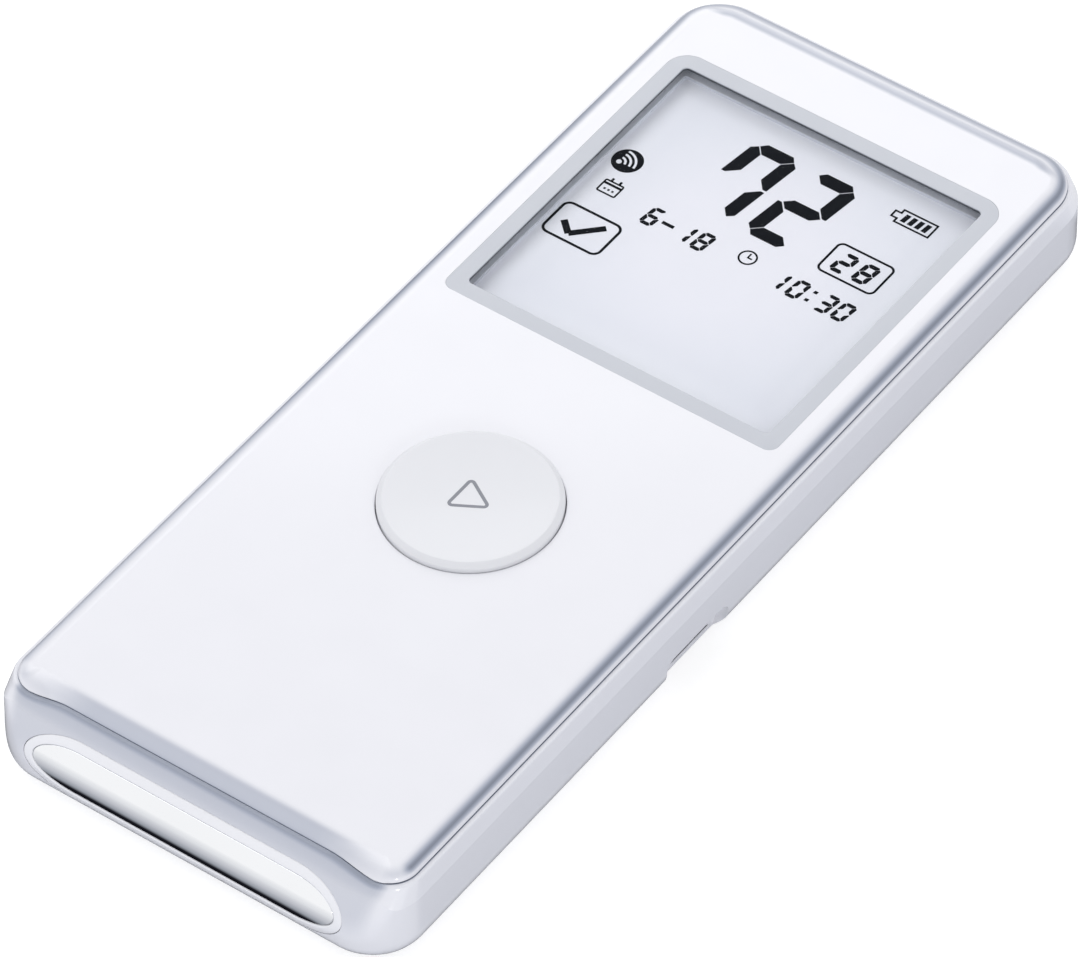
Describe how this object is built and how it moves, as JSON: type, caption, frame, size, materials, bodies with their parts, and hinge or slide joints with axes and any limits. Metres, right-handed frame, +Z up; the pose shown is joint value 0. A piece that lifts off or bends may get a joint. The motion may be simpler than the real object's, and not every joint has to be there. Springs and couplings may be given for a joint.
{
  "type": "handheld ecg monitor",
  "caption": "Slim handheld heart monitor with a finger electrode across each end, a grey-framed display, a round start button and a charging socket in one side.",
  "frame": {"origin": "under the middle of the case, on the flat back that it lies on", "axes": "+Z up through the top cover and the start button, +Y towards the display end, +X towards the side with the charging socket"},
  "size_m": [0.0498, 0.1236, 0.0121],
  "materials": {
    "shell_white": "high gloss, moulded",
    "button_white": "high gloss, moulded",
    "ring_white": "high gloss, moulded",
    "bezel_grey": "satin",
    "window_clear": "clear, polished",
    "display_film": "satin",
    "display_glass": "clear, polished",
    "guide_plastic": "polished",
    "frame_plastic": "moulded",
    "gasket_foam": "closed-cell foam",
    "flex_amber": "flexible circuit",
    "connector_cream": "moulded",
    "dome_rubber": "soft, matt",
    "board_green": "solder mask",
    "chip_black": "moulded",
    "component_tan": "ceramic",
    "sheet_steel": "plated sheet",
    "battery_foil": "laminated foil",
    "lead_red": "insulated wire",
    "electrode_chrome": "polished",
    "contact_brass": "plated spring strip",
    "screw_steel": "zinc plated"
  },
  "bodies": {
    "housing": {"top_cover": "shell_white", "lower_case": "shell_white", "display_bezel": "bezel_grey", "display_window": "window_clear", "display_gasket": "gasket_foam", "front_polarizer": "display_film", "front_glass": "display_glass", "rear_glass": "display_glass", "rear_polarizer": "display_film", "light_guide": "guide_plastic", "display_frame": "frame_plastic", "display_flex": "flex_amber", "flex_connector": "connector_cream", "return_dome": "dome_rubber", "switch_body": "chip_black", "main_board": "board_green", "processor": "chip_black", "heart_amplifier": "chip_black", "memory_chip": "chip_black", "charging_chip": "chip_black", "clock_crystal": "sheet_steel", "radio_module": "board_green", "radio_shield": "sheet_steel", "small_components": "component_tan", "usb_socket": "sheet_steel", "usb_tongue": "chip_black", "battery_cell": "battery_foil", "battery_pad": "gasket_foam", "battery_leads": "lead_red", "battery_plug": "connector_cream", "battery_header": "connector_cream", "near_electrode": "electrode_chrome", "near_electrode_ring": "ring_white", "near_contact": "contact_brass", "near_lead_strip": "flex_amber", "far_electrode": "electrode_chrome", "far_electrode_ring": "ring_white", "far_contact": "contact_brass", "case_screws": "screw_steel", "board_screws": "screw_steel"},
    "button": {"start_button": "button_white"},
    "plunger": {"switch_plunger": "connector_cream"}
  },
  "joints": [
    {"name": "button_press", "type": "slide", "parent": "housing", "child": "button", "axis": [0, 0, -1], "range_m": [0, 0.0005], "stiffness_N_per_m": 1600, "springref_m": -0.0004, "deforming": ["return_dome"]},
    {"name": "plunger_press", "type": "slide", "parent": "housing", "child": "plunger", "axis": [0, 0, -1], "range_m": [0, 0.0005]}
  ],
  "couplings": [
    {"joint": "plunger_press", "follows": "button_press", "ratio": 1}
  ]
}
